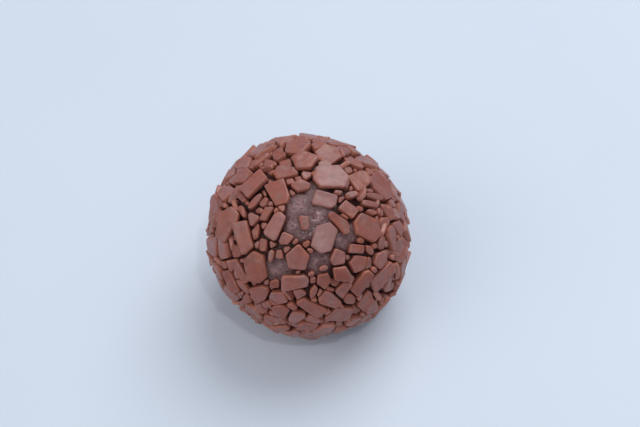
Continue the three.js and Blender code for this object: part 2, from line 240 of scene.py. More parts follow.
def hull(points):
    """The corners of the convex outline round some flat points, anticlockwise."""
    ordered = sorted(map(tuple, points))
    corners = []
    for run in (ordered, ordered[::-1]):
        start = len(corners)
        for point in run:
            point = np.array(point)
            while len(corners) > start + 1 and cross2(corners[-1] - corners[-2], point - corners[-1]) < 1e-6:
                corners.pop()
            corners.append(point)
        corners.pop()
    return np.array(corners)


def without_slight_corners(outline, shortest=0.3, least_turn=4):
    """Drops corners that are too near the next one, or that hardly turn."""
    gaps = np.linalg.norm(np.roll(outline, -1, axis=0) - outline, axis=1)
    outline = outline[gaps > shortest]
    before = unit(outline - np.roll(outline, 1, axis=0))
    after = unit(np.roll(outline, -1, axis=0) - outline)
    turn = np.degrees(np.arcsin(np.clip(cross2(before, after), -1, 1)))
    straight_on = (before * after).sum(axis=1) > 0
    return outline[(turn > least_turn) | ~straight_on]


def cut_by(outline, through, away):
    """What is left of an outline on the side of a line that the unit vector away points to."""
    heights = (outline - through) @ away
    kept = []
    for point, following, height, next_height in zip(
        outline, np.roll(outline, -1, axis=0), heights, np.roll(heights, -1)
    ):
        if height >= 0:
            kept.append(point)
        if height * next_height < 0:
            kept.append(point + (following - point) * height / (height - next_height))
    return np.array(kept).reshape(-1, 2)


def edges_of(outline):
    """The unit direction of each edge, anticlockwise, from its first corner."""
    return unit(np.roll(outline, -1, axis=0) - outline)


def shrunk(outline, inset):
    """A convex outline with every edge moved in."""
    left = outline
    for corner, edge in zip(outline, edges_of(outline)):
        inward = np.array([-edge[1], edge[0]])
        left = cut_by(left, corner + inset * inward, inward)
        if len(left) < 3:
            return left
    return left


def broken_off(outline, neighbour, gap):
    """The outline broken off along whichever edge of its neighbour leaves most of it."""
    best = np.zeros((0, 2))
    best_area = 0
    for corner, edge in zip(neighbour, edges_of(neighbour)):
        away = np.array([edge[1], -edge[0]])
        kept = cut_by(outline, corner + gap * away, away)
        if len(kept) > 2 and area(kept) > best_area:
            best, best_area = kept, area(kept)
    return best


# ---------- Flakes ----------


@dataclass
class Flake:
    """A flat flake: its outline round its middle, in its own frame, and how deep it is."""

    middle: np.ndarray
    outward: np.ndarray
    long: np.ndarray
    outline: np.ndarray
    depth: float = FLAKE_THICKNESS
    rim: float = RIM_RADIUS
    film: float = 0.0
    wide: np.ndarray = field(init=False)

    def __post_init__(self):
        self.wide = np.cross(self.outward, self.long)
        self.reach = np.linalg.norm(self.outline, axis=1).max()

    def place(self, flat, heights):
        """Points in space from flat ones and their heights over the flake's face."""
        across = flat[:, :1] * self.long + flat[:, 1:] * self.wide
        return self.middle + across + heights[:, None] * self.outward

    def corners(self):
        return self.place(self.outline, np.zeros(len(self.outline)))

    def seen_from(self, other):
        """This flake's corners in another's flat frame."""
        offsets = self.corners() - other.middle
        return np.stack([offsets @ other.long, offsets @ other.wide], axis=1)


def turned_round(vector, axis, angle):
    """The vector after a turn round a unit axis, in radians."""
    across = np.cross(axis, vector)
    along = axis * (axis @ vector)
    return vector * math.cos(angle) + across * math.sin(angle) + along * (1 - math.cos(angle))


def tipped(flake):
    """The same flake with one side a little higher than the other."""
    axis = any_across(flake.outward)
    angle = math.radians(rng.uniform(*TIPPING))
    outward = turned_round(flake.outward, axis, angle)
    long = turned_round(flake.long, axis, angle)
    return replace(flake, outward=outward, long=long)


def any_across(outward):
    """A random unit vector square to outward."""
    return unit(np.cross(outward, rng.normal(size=3)))


def welded_triangles(mesh):
    """The mesh's points in millimetres, with those at one place joined, and its triangles."""
    mesh.calc_loop_triangles()
    points = np.zeros(len(mesh.vertices) * 3)
    mesh.vertices.foreach_get("co", points)
    triangles = np.zeros(len(mesh.loop_triangles) * 3, int)
    mesh.loop_triangles.foreach_get("vertices", triangles)
    rounded = np.round(points.reshape(-1, 3) / MM, 3)
    places, where = np.unique(rounded, axis=0, return_inverse=True)
    return places, where.reshape(-1)[triangles].reshape(-1, 3)


def flat_groups(points, triangles):
    """Groups of triangles that share edges and lie in one plane, with each edge's two triangles."""
    first, second, third = (points[triangles[:, corner]] for corner in range(3))
    turned = np.cross(second - first, third - first)
    areas = np.linalg.norm(turned, axis=1) / 2
    normals = turned / np.maximum(2 * areas, TINY)[:, None]
    sides = {}
    for index, triangle in enumerate(triangles):
        for a, b in zip(triangle, np.roll(triangle, -1)):
            sides.setdefault((min(a, b), max(a, b)), []).append(index)
    owner = list(range(len(triangles)))

    def root(i):
        while owner[i] != i:
            owner[i] = owner[owner[i]]
            i = owner[i]
        return i

    flat_enough = math.cos(math.radians(MOST_BEND))
    for pair in sides.values():
        if len(pair) == 2 and normals[pair[0]] @ normals[pair[1]] > flat_enough:
            owner[root(pair[0])] = root(pair[1])
    groups = {}
    for i in range(len(triangles)):
        groups.setdefault(root(i), []).append(i)
    return list(groups.values()), sides, normals, areas


def flakes_of(node):
    """Every flake whose outer face shows on the CAD solid."""
    points, triangles = welded_triangles(node.data)
    groups, sides, normals, areas = flat_groups(points, triangles)
    found = []
    for group in groups:
        group_area = areas[group].sum()
        if group_area < SMALLEST_FACE:
            continue
        outward = unit((normals[group] * areas[group][:, None]).sum(axis=0))
        middle = (points[triangles[group]].mean(axis=1) * areas[group][:, None]).sum(axis=0) / group_area
        if outward @ unit(middle - centre) < LEAST_OUTWARD:
            continue
        if sharp_share(group, sides, points, triangles, normals) < LEAST_SHARP:
            continue
        found.append(flake_on(middle, outward, points[np.unique(triangles[group])]))
    return sorted(found, key=lambda flake: tuple(np.round(flake.middle, 2)))


def sharp_share(group, sides, points, triangles, normals):
    """How much of a flat group's rim falls away sharply, from 0 to 1."""
    members = set(group)
    sharp = total = 0
    for index in group:
        triangle = triangles[index]
        for a, b in zip(triangle, np.roll(triangle, -1)):
            pair = sides[(min(a, b), max(a, b))]
            beyond = [i for i in pair if i not in members]
            if not beyond:
                continue
            length = np.linalg.norm(points[a] - points[b])
            total += length
            apex = next(v for v in triangles[beyond[0]] if v not in (a, b))
            falls = (points[apex] - points[a]) @ normals[index] < -SHARP_DROP
            if falls and normals[beyond[0]] @ normals[index] < SHARP_BEND:
                sharp += length
    return sharp / max(total, 1e-9)


def flake_on(middle, outward, face_points):
    """The flake whose outer face goes through the given points."""
    long = any_across(outward)
    wide = np.cross(outward, long)
    flat = np.stack([(face_points - middle) @ long, (face_points - middle) @ wide], axis=1)
    outline = without_slight_corners(hull(flat))
    shift = middle_of(outline)
    middle = middle + shift[0] * long + shift[1] * wide
    outline = outline - shift
    spans = np.ptp(outline @ principal_axes(outline), axis=0)
    direction = unit(middle - centre)
    stands = np.linalg.norm(middle - centre) - fudge_radius(direction)
    if spans.min() < WIDEST_STICK and spans.max() > STICK_SLENDERNESS * spans.min():
        depth = STICK_DEPTH
    elif stands > LEAST_RIDING:
        depth = FLAKE_THICKNESS
    else:
        depth = ROOTED_DEPTH
    film = 1.0 if stands < MOST_SUNK and area(outline) > LEAST_FILMED else 0.0
    return Flake(middle, outward, long, outline, depth, film=film)


def principal_axes(outline):
    """The outline's own long and wide directions, as columns."""
    return np.linalg.eigh(np.cov(outline.T))[1]


# ---------- Bits that fill the gaps ----------

BIT_GAP = 0.14
# Each round of bits: how many places are looked at, the bits' length and width, the least room that
# a place has around it, and the least area of a bit.
BIT_ROUNDS = (
    {"places": 9000, "long": (2.4, 3.6), "wide": (1.5, 2.3), "room": 0.8, "least": 2.0},
    {"places": 16000, "long": (1.6, 2.8), "wide": (1.0, 1.6), "room": 0.58, "least": 0.9},
    {"places": 24000, "long": (1.6, 2.8), "wide": (0.7, 1.1), "room": 0.42, "least": 0.55},
)
BIT_SETTING = (-0.65, 0.1)  # how far a bit's face stands over the flakes' usual height
BIT_TILT = 9  # degrees, typical
BIT_DEPTH = 1.4
BIT_RIM = 0.22
BIT_LEAST_INNER = 0.6  # of the room: how far a bit's edges can be moved in with some of it left
BIT_NEIGHBOURS = 6  # how far off the flakes are that a bit can touch
BIT_SHADOW = 4  # how far off a new bit changes the room
DOT_SPACING = 0.3  # between the points on a flake that room is measured from
OUTLINE_CORNERS = (4, 7)  # of a bit or a narrow flake: from the first to just under the second
OUTLINE_JITTER = 0.3  # of the turn from one corner to the next
OUTLINE_FILL = 1.7  # how much longer a bit is than its corners lie from its middle
TILT_SPREAD = 0.7
BARE_MARGIN = 0.7  # bits keep this much further from a bare patch's middle than flakes do
LOWEST_BIT = 2.0  # above the floor

# Narrow flakes that stand steeply in the gaps.
SLIVER_COUNT = 90
SLIVER_RIM = 0.2
SLIVER_TURN = 0.5  # of the spread of their places
SLIVER_PLACES = 6000
SLIVER_ROOM = 0.3  # the least room round its place
SLIVER_SPACING = 2.6
SLIVER_LONG = (2.4, 4.2)
SLIVER_WIDE = (1.3, 2.0)
SLIVER_DEPTH = 0.85
SLIVER_STEEP = (48, 72)  # degrees
SLIVER_STANDS = (-0.1, 0.5)  # of its upper edge, over the flakes' usual height
FACE_CLEAR = 0.83  # cosine of how far round from the face axis the slivers start


def spread_directions(count, turn):
    """Unit directions spread evenly all round."""
    index = np.arange(count) + 0.5
    golden = math.pi * (1 + math.sqrt(5))
    z = 1 - 2 * index / count
    across = np.sqrt(1 - z**2)
    angles = golden * index + turn
    return np.stack([across * np.cos(angles), across * np.sin(angles), z], axis=1)


def tree_of(points):
    """A tree that finds the nearest of some points."""
    tree = kdtree.KDTree(len(points))
    for index, point in enumerate(points):
        tree.insert(point, index)
    tree.balance()
    return tree


def dots_on(flake):
    """Points spread over a flake's face, used to measure the room beside it."""
    low, high = flake.outline.min(axis=0), flake.outline.max(axis=0)
    lines = [np.arange(a, b + DOT_SPACING, DOT_SPACING) for a, b in zip(low, high)]
    grid = np.stack(np.meshgrid(*lines), axis=-1).reshape(-1, 2)
    for corner, edge in zip(flake.outline, edges_of(flake.outline)):
        inward = np.array([-edge[1], edge[0]])
        grid = grid[(grid - corner) @ inward >= 0]
    return np.concatenate([flake.place(grid, np.zeros(len(grid))), flake.corners()])


def rough_outline(length, width):
    """A random convex outline of four to six corners."""
    count = rng.integers(*OUTLINE_CORNERS)
    jitter = rng.uniform(-OUTLINE_JITTER, OUTLINE_JITTER, count)
    turns = (np.arange(count) + jitter) * 2 * math.pi / count
    return np.stack([np.cos(turns) * length, np.sin(turns) * width], axis=1) / OUTLINE_FILL


def tilted_frame(outward, long, degrees):
    """The outward and long directions after a random tilt."""
    tilted = unit(outward + math.tan(math.radians(degrees)) * rng.normal(size=3) * TILT_SPREAD)
    return tilted, unit(long - (long @ tilted) * tilted)


def fitted_bit(direction, size, neighbours):
    """A bit for the gap in that direction, broken off to clear its neighbours, or None."""
    at = fudge_point(direction)
    outward = fudge_normal(direction)
    outline = rough_outline(rng.uniform(*size["long"]), rng.uniform(*size["wide"]))
    bit = Flake(at + FLAKE_STANDS * outward, outward, any_across(outward), outline)
    for neighbour in neighbours:
        if np.linalg.norm(neighbour.middle - bit.middle) < bit.reach + neighbour.reach:
            outline = broken_off(outline, neighbour.seen_from(bit), BIT_GAP)
            if len(outline) < 3:
                return None
    outline = without_slight_corners(outline)
    if len(outline) < 3 or area(outline) < size["least"]:
        return None
    if len(shrunk(outline, size["room"] * BIT_LEAST_INNER)) < 3:
        return None
    shift = middle_of(outline)
    middle = bit.place(shift[None], np.array([rng.uniform(*BIT_SETTING)]))[0]
    tilted, long = tilted_frame(outward, bit.long, BIT_TILT)
    return Flake(middle, tilted, long, outline - shift, depth=BIT_DEPTH, rim=BIT_RIM)


def in_bare_patch(points, margin):
    """Which points lie in one of the bare patches or within a margin round it."""
    inside = [np.linalg.norm(points - middle, axis=1) < radius + margin for middle, radius in bare_patches]
    return np.any(inside, axis=0)


def bits_between(flakes):
    """The small bits that lie in the gaps between the flakes, the widest gaps filled first."""
    coat = list(flakes)
    for number, size in enumerate(BIT_ROUNDS):
        tree = tree_of(np.concatenate([dots_on(flake) for flake in coat]))
        directions = spread_directions(size["places"], number)
        places = fudge_point(directions)
        tops = places + FLAKE_STANDS * directions
        rooms = np.array([tree.find(top)[2] for top in tops])
        rooms[in_bare_patch(places, BARE_MARGIN) | (places[:, 2] < LOWEST_BIT)] = 0
        while rooms.max() > size["room"]:
            index = rooms.argmax()
            middles = np.array([flake.middle for flake in coat])
            near = np.flatnonzero(np.linalg.norm(middles - tops[index], axis=1) < BIT_NEIGHBOURS)
            bit = fitted_bit(directions[index], size, [coat[i] for i in near])
            rooms[index] = 0
            if bit is not None:
                coat.append(bit)
                close = np.flatnonzero(np.linalg.norm(tops - tops[index], axis=1) < BIT_SHADOW)
                gaps = np.linalg.norm(tops[close][:, None] - dots_on(bit)[None], axis=2).min(axis=1)
                rooms[close] = np.minimum(rooms[close], gaps)
    return coat[len(flakes):]


def slivers_between(flakes):
    """Narrow flakes that stand steeply in the gaps between the others, along the gaps."""
    tree = tree_of(np.concatenate([dots_on(flake) for flake in flakes]))
    found = []
    for direction in rng.permutation(spread_directions(SLIVER_PLACES, SLIVER_TURN)):
        at = fudge_point(direction)
        top = at + FLAKE_STANDS * direction
        nearest, _, room = tree.find(top)
        crowded = any(np.linalg.norm(at - other.middle) < SLIVER_SPACING for other in found)
        bare = in_bare_patch(at[None], BARE_MARGIN)[0]
        on_face = direction @ face_axis > FACE_CLEAR
        if room < SLIVER_ROOM or crowded or bare or at[2] < LOWEST_BIT or on_face:
            continue
        outward = fudge_normal(direction)
        towards = np.array(nearest) - top
        towards = unit(towards - (towards @ outward) * outward) * rng.choice([-1, 1])
        steep = math.radians(rng.uniform(*SLIVER_STEEP))
        turned = math.cos(steep) * outward + math.sin(steep) * towards
        width = rng.uniform(*SLIVER_WIDE)
        height = FLAKE_STANDS + rng.uniform(*SLIVER_STANDS) - width / 2 * math.sin(steep)
        outline = rough_outline(rng.uniform(*SLIVER_LONG), width)
        outline = outline - middle_of(outline)
        long = np.cross(outward, towards)
        found.append(Flake(at + height * outward, turned, long, outline, SLIVER_DEPTH, rim=SLIVER_RIM))
        if len(found) == SLIVER_COUNT:
            break
    return found


# ---------- Meshes ----------


class MeshMaker:
    """Gathers closed shells into one mesh, with named numbers at every point."""

    def __init__(self):
        self.points = []
        self.faces = []
        self.values = {}
        self.count = 0

    def add(self, points, faces, **values):
        self.points.append(points)
        self.faces.extend([[i + self.count for i in face] for face in faces])
        for name, value in values.items():
            self.values.setdefault(name, []).append(np.broadcast_to(value, len(points)))
        self.count += len(points)

    def piece(self, name, material):
        mesh = bpy.data.meshes.new(name)
        points = np.concatenate(self.points)
        points[:, 2] = np.maximum(points[:, 2], 0)
        mesh.from_pydata(points * MM, [], self.faces)
        mesh.polygons.foreach_set("use_smooth", [True] * len(mesh.polygons))
        for value_name, parts in self.values.items():
            attribute = mesh.attributes.new(value_name, "FLOAT", "POINT")
            attribute.data.foreach_set("value", np.concatenate(parts).astype(np.float32))
        mesh.materials.append(material)
        mesh.update()
        made = bpy.data.objects.new(name, mesh)
        bpy.context.scene.collection.objects.link(made)
        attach(made, BODY)
        return made


def rounded(outline, radius, arc_step):
    """Points round a convex outline with rounded corners, the outward direction at each, and the radius."""
    while True:
        inner = shrunk(outline, radius)
        if len(inner) >= 3 and area(inner) > SHORT:
            break
        radius *= 0.8
    inner = inner[np.linalg.norm(np.roll(inner, -1, axis=0) - inner, axis=1) > SHORT]
    edges = edges_of(inner)
    outs = np.stack([edges[:, 1], -edges[:, 0]], axis=1)
    points, directions = [], []
    next_corners = np.roll(inner, -1, axis=0)
    for corner, following, before, after in zip(inner, next_corners, np.roll(outs, 1, axis=0), outs):
        start = math.atan2(before[1], before[0])
        turn = (math.atan2(after[1], after[0]) - start) % (2 * math.pi)
        steps = max(1, math.ceil(math.degrees(turn) / arc_step))
        for step in range(steps + 1):
            angle = start + turn * step / steps
            away = np.array([math.cos(angle), math.sin(angle)])
            points.append(corner + radius * away)
            directions.append(away)
        steps = math.ceil(np.linalg.norm(following - corner) / EDGE_STEP)
        for step in range(1, steps):
            points.append(corner + (following - corner) * step / steps + radius * after)
            directions.append(after)
    return np.array(points), np.array(directions), radius


def lens_shaped(outline):
    """A long outline with its ends drawn in."""
    axes = principal_axes(outline)
    across, along = (outline @ axes).T
    across = across * (1 - STICK_TAPER * (along / np.abs(along).max()) ** 2)
    return np.stack([across, along], axis=1) @ axes.T


def flake_shell(flake, fine):
    """The points and faces of one rounded flake, with each point's nearness to its rim and to its foot."""
    radius = rng.uniform(*CORNER_RADIUS) * min(1, CORNER_SHARE[0] + CORNER_SHARE[1] * flake.reach)
    outline, outs, radius = rounded(flake.outline, radius, FINE_ARC if fine else COARSE_ARC)
    if flake.depth == STICK_DEPTH:
        outline = lens_shaped(outline)
    wave = EDGE_WAVE * min(1, radius / LARGE_RADIUS)
    rim = min(flake.rim * rng.uniform(*RIM_VARIES), RIM_LIMIT * (radius - WAVE_ROOM * wave))
    count = len(outline)
    turns = np.arctan2(outline[:, 1], outline[:, 0])
    waves = sum(
        np.sin(turns * cycles + rng.uniform(0, 2 * math.pi)) * rng.uniform(*WAVE_STRENGTHS) / cycles**0.5
        for cycles in WAVE_CYCLES
    )
    wavy = outline - outs * (wave * (1 + WAVE_VARIES * waves))[:, None]
    bow = rng.normal(size=3) * FACE_WARP / max(flake.reach, 1) ** 2
    dome = rng.uniform(*FACE_DOME) * min(1, flake.reach / FULL_DOME_REACH)

    rings = []

    def ring(flat, height, nearness):
        rings.append((flat, np.full(count, height), np.full(count, nearness)))

    inner = wavy - outs * rim
    for way_out, nearness in FACE_RINGS:
        ring(inner * way_out, 0.0, nearness)
    for share in FINE_RIM if fine else COARSE_RIM:
        angle = share * math.pi / 2
        nearness = RIM_STARTS + (1 - RIM_STARTS) * share
        ring(wavy - outs * rim * (1 - math.sin(angle)), -rim * (1 - math.cos(angle)), nearness)
    ring(wavy - outs * SIDE_INSET, -flake.depth / 2, 1.0)
    for share in FINE_FOOT if fine else COARSE_FOOT:
        angle = share * math.pi / 2
        inset = FOOT_INSET + rim * (1 - math.cos(angle))
        ring(wavy - outs * inset, -(flake.depth - rim * (1 - math.sin(angle))), 1.0 - FOOT_FADE * share)
    flat = np.concatenate([[[0, 0]], *[r[0] for r in rings], [[0, 0]]])
    height = np.concatenate([[0.0], *[r[1] for r in rings], [-flake.depth]])
    near = np.concatenate([[0.0], *[r[2] for r in rings], [0.0]])
    foot = np.clip(-height / SHADED_FOOT_DEPTH, 0, 1)
    bowed = bow[0] * flat[:, 0] ** 2 + bow[1] * flat[:, 1] ** 2 + bow[2] * flat[:, 0] * flat[:, 1]
    height = height + bowed - max(bowed.max(), 0) - dome * (flat**2).sum(axis=1) / flake.reach**2

    faces = []
    for i in range(count):
        j = (i + 1) % count
        faces.append([0, 1 + i, 1 + j])
        for k in range(len(rings) - 1):
            a, b = 1 + k * count, 1 + (k + 1) * count
            faces.append([a + i, b + i, b + j, a + j])
        last = 1 + (len(rings) - 1) * count
        faces.append([last + i, last + count, last + j])
    return flake.place(flat, height), faces, near, foot


def coat_piece(name, flakes, material, fine):
    """One piece of many flakes. Each carries its own tone."""
    maker = MeshMaker()
    for flake in flakes:
        points, faces, near, foot = flake_shell(flake, fine)
        maker.add(points, faces, tone=rng.uniform(0, 1), rim=near, film=flake.film, foot=foot)
    return maker.piece(name, material)


# ---------- The fudge ----------

CORE_GRID = 118  # squares along each side of the six-sided grid that the core is made from
GRAINS = ((1.0, 0.10), (0.5, 0.085), (0.25, 0.03))  # how wide and how high
GAP_DROP = 0.62  # how much lower the fudge lies in the gaps than in the bare patches
PATCH_EDGE = 1.6  # over which the one becomes the other
WET_EDGE = 0.5  # over which a wet spot ends
WET_RIPPLE = (0.8, 0.16)  # of the wet spots: how wide and how high
WET_SMOOTH = 0.85  # how much of the grain a wet spot hides
SHADE_BESIDE = (0.25, 1.1)  # from a flake's edge: where the painted shade on the fudge is darkest, and where it ends


def grid_ball(squares):
    """Directions and four-sided faces of a ball made from a cube's grid."""
    steps = np.tan(np.linspace(-math.pi / 4, math.pi / 4, squares + 1))
    u, v = np.meshgrid(steps, steps, indexing="ij")
    u, v = u.ravel(), v.ravel()
    one = np.ones_like(u)
    sides = [(one, u, v), (-one, v, u), (v, one, u), (u, -one, v), (u, v, one), (v, u, -one)]
    points = np.concatenate([np.stack(side, axis=1) for side in sides])
    row = squares + 1
    faces = []
    for side in range(6):
        start = side * row * row
        for i in range(squares):
            for j in range(squares):
                a = start + i * row + j
                faces.append([a, a + row, a + row + 1, a + 1])
    points = unit(points)
    places, where = np.unique(np.round(points, 6), axis=0, return_inverse=True)
    return unit(places), where.reshape(-1)[np.array(faces)]


def grain(points):
    """How far the grain lifts or lowers the fudge at each point."""
    lifts = np.zeros(len(points))
    for index, point in enumerate(points):
        lifts[index] = sum(high * noise.noise(Vector(point / wide)) for wide, high in GRAINS)
    return lifts


def share_in(points, patches, edge):
    """How much each point is inside any of some round patches, from 0 to 1."""
    gaps = [np.linalg.norm(points - middle, axis=1) - radius for middle, radius in patches]
    share = np.clip(1 - np.min(gaps, axis=0) / edge, 0, 1)
    return share * share * (3 - 2 * share)


def beside_flakes(points, coat):
    """How close each point of the fudge is to the side of a flake, from 0 to 1, for the painted shade beside
    the flakes.
    """
    dots = np.concatenate([dots_on(flake) for flake in coat])
    tree = tree_of(fudge_point(unit(dots - centre)))
    gaps = np.array([tree.find(point)[2] for point in points])
    return np.clip(1 - (gaps - SHADE_BESIDE[0]) / (SHADE_BESIDE[1] - SHADE_BESIDE[0]), 0, 1)


def fudge_piece(material, coat):
    """The ball of fudge under the coat, lower in the gaps and grained all over."""
    directions, faces = grid_ball(CORE_GRID)
    points = fudge_point(directions)
    bare = share_in(points, bare_patches, PATCH_EDGE)
    wet = share_in(points, wet_spots, WET_EDGE)
    beside = beside_flakes(points, coat)
    ripples = np.array([noise.noise(Vector(point / WET_RIPPLE[0])) for point in points])
    lift = grain(points) * (1 - WET_SMOOTH * wet)
    lift = lift - GAP_DROP * (1 - bare) + WET_RIPPLE[1] * ripples * wet
    points = points + directions * lift[:, None]
    maker = MeshMaker()
    maker.add(points, faces.tolist(), bare=bare, wet=wet, beside=beside)
    return maker.piece("fudge", material)


# ---------- Materials ----------


@dataclass
class Layer:
    """A colour laid over the ones before it, where a noise or a number at the mesh's points is high."""

    colour: tuple  # as a screen shows it, 0 to 255
    most: float  # of the colour, where the source is past its span
    span: tuple  # of the source: where the colour starts, and where it is full
    noise: dict = field(default_factory=dict)
    point: str = ""


# The two ends of the flakes' own tones, and what lies over them: mottling, a film of fudge, a painted
# highlight along the rims and painted shade down the sides.
FLAKE_TONES = ((130, 62, 46), (152, 99, 93))
FLAKE_LAYERS = (
    Layer((150, 80, 58), 0.65, (0.42, 0.62), noise={"size_mm": 3.2, "detail": 1}),
    Layer((132, 104, 100), 0.55, (0.5, 0.68), noise={"size_mm": 2.1, "detail": 3, "roughness": 0.6}),
    Layer((118, 68, 60), 0.5, (0.42, 0.66), noise={"size_mm": 0.9, "detail": 4}),
    # painted highlight: lighter along each flake's rounded rim, where its edges catch the light
    Layer((180, 112, 92), 0.6, (0.4, 1.0), point="rim"),
    Layer((140, 104, 102), 0.5, (0.0, 1.0), point="film"),
    # painted shade: each flake's side darker towards its foot, down in the gaps
    Layer((80, 28, 20), 0.85, (0.35, 1.0), point="foot"),
)
FLAKE_GLOSS_SIZE = 0.8
FLAKE_GLOSS_SPAN = (0.3, 0.7)
FLAKE_ROUGHNESS = (0.3, 0.46)
FLAKE_SPECULAR = 0.5
FLAKE_GLOW = 0.06  # share of the light that passes under the surface
FLAKE_GLOW_COLOUR = (0.8, 0.4, 0.25)
FLAKE_GLOW_DEPTH = 1
# Each layer of bumps: its noise, and how high it is.
FLAKE_BUMPS = (
    ({"size_mm": 2.0, "detail": 1}, 0.25),
    ({"size_mm": 0.7, "detail": 2}, 0.05),
    ({"size_mm": 0.18, "detail": 3}, 0.012),
)

FUDGE_GRAIN = {"size_mm": 0.42, "detail": 3, "roughness": 0.6}
FUDGE_COLOURS = ((106, 72, 70), (142, 104, 102))
FUDGE_BLOTCH = {"size_mm": 1.4, "detail": 4, "roughness": 0.65}
FUDGE_SPAN = (0.35, 0.65)  # of a noise that tells one end of a range from the other
FUDGE_LAYERS = (
    Layer((72, 36, 35), 0.9, (0.5, 0.34), noise=FUDGE_GRAIN),
    # painted shade: the fudge darker close beside the flakes
    Layer((76, 38, 38), 0.7, (0.0, 1.0), point="beside"),
)
# painted shade: the near-black colour that the fudge takes outside the bare patches, down in the gaps
# between the flakes
FUDGE_GAP_SHADE = (54, 10, 5)
FUDGE_GLOSS_SIZE = 0.3
FUDGE_ROUGHNESS = (0.34, 0.6)
WET_ROUGHNESS = 0.16  # of a wet spot, for 1 of the dry fudge
GAP_ROUGHNESS = 0.8  # at least, where flakes lie close
FUDGE_COAT = 0.2
FUDGE_COAT_ROUGHNESS = 0.1
FUDGE_BUMP = 0.3
WET_BUMP = 0.08  # of a wet spot, for 1 of the dry fudge
FUDGE_FINE_BUMP = ({"size_mm": 0.12, "detail": 2}, 0.012)

FLOOR_COLOURS = ((198, 205, 216), (203, 210, 220))
FLOOR_NOISE = {"size_mm": 40, "detail": 2}
FLOOR_ROUGHNESS = 0.6


def colour(red, green, blue):
    """A linear colour from the values that a screen shows, 0 to 255."""
    parts = [part / 255 for part in (red, green, blue)]
    return (*[p / 12.92 if p <= 0.04045 else ((p + 0.055) / 1.055) ** 2.4 for p in parts], 1)


class Nodes:
    """Short ways to add and join a material's nodes."""

    def __init__(self, name):
        self.material = bpy.data.materials.new(name)
        self.material.use_nodes = True
        self.tree = self.material.node_tree
        self.shader = self.tree.nodes["Principled BSDF"]
        self.place = self.add("ShaderNodeTexCoord").outputs["Object"]

    def add(self, kind, **settings):
        node = self.tree.nodes.new(kind)
        for key, value in settings.items():
            setattr(node, key, value)
        return node

    def join(self, source, target):
        self.tree.links.new(source, target)

    def noise(self, size_mm, detail=3, roughness=0.55):
        node = self.add("ShaderNodeTexNoise")
        node.inputs["Scale"].default_value = 1 / (size_mm * MM)
        node.inputs["Detail"].default_value = detail
        node.inputs["Roughness"].default_value = roughness
        self.join(self.place, node.inputs["Vector"])
        return node.outputs["Fac"]

    def value_at_point(self, name):
        return self.add("ShaderNodeAttribute", attribute_name=name).outputs["Fac"]

    def mapped(self, source, low, high, to_low=0.0, to_high=1.0):
        node = self.add("ShaderNodeMapRange")
        self.join(source, node.inputs["Value"])
        for name, value in zip(("From Min", "From Max", "To Min", "To Max"), (low, high, to_low, to_high)):
            node.inputs[name].default_value = value
        return node.outputs["Result"]

    def mixed(self, factor, first, second):
        """Two colours, or their sockets, mixed by a factor's socket."""
        node = self.add("ShaderNodeMix", data_type="RGBA")
        self.join(factor, node.inputs[0])
        for socket, source in ((node.inputs[6], first), (node.inputs[7], second)):
            if isinstance(source, tuple):
                socket.default_value = source
            else:
                self.join(source, socket)
        return node.outputs[2]

    def combined(self, operation, first, second):
        node = self.add("ShaderNodeMath", operation=operation)
        self.join(first, node.inputs[0])
        self.join(second, node.inputs[1])
        return node.outputs[0]

    def layered(self, base, layers):
        """A colour with layers of others over it."""
        for layer in layers:
            source = self.value_at_point(layer.point) if layer.point else self.noise(**layer.noise)
            share = self.mapped(source, *layer.span, 0.0, layer.most)
            base = self.mixed(share, base, colour(*layer.colour))
        return base

    def bumped(self, layers):
        """Bumps one over another: each layer is a height and how high it is in millimetres."""
        normal = None
        for height, high_mm in layers:
            node = self.add("ShaderNodeBump")
            node.inputs["Distance"].default_value = high_mm * MM
            self.join(height, node.inputs["Height"])
            if normal is not None:
                self.join(normal, node.inputs["Normal"])
            normal = node.outputs["Normal"]
        self.join(normal, self.shader.inputs["Normal"])


def flake_material():
    nodes = Nodes("milk_chocolate_flakes")
    base = nodes.mixed(nodes.value_at_point("tone"), *[colour(*tone) for tone in FLAKE_TONES])
    nodes.join(nodes.layered(base, FLAKE_LAYERS), nodes.shader.inputs["Base Color"])
    gloss = nodes.mapped(nodes.noise(FLAKE_GLOSS_SIZE), *FLAKE_GLOSS_SPAN, *FLAKE_ROUGHNESS)
    nodes.join(gloss, nodes.shader.inputs["Roughness"])
    nodes.shader.inputs["Specular IOR Level"].default_value = FLAKE_SPECULAR
    nodes.shader.inputs["Subsurface Weight"].default_value = FLAKE_GLOW
    nodes.shader.inputs["Subsurface Radius"].default_value = FLAKE_GLOW_COLOUR
    nodes.shader.inputs["Subsurface Scale"].default_value = FLAKE_GLOW_DEPTH * MM
    nodes.bumped([(nodes.noise(**settings), high) for settings, high in FLAKE_BUMPS])
    return nodes.material


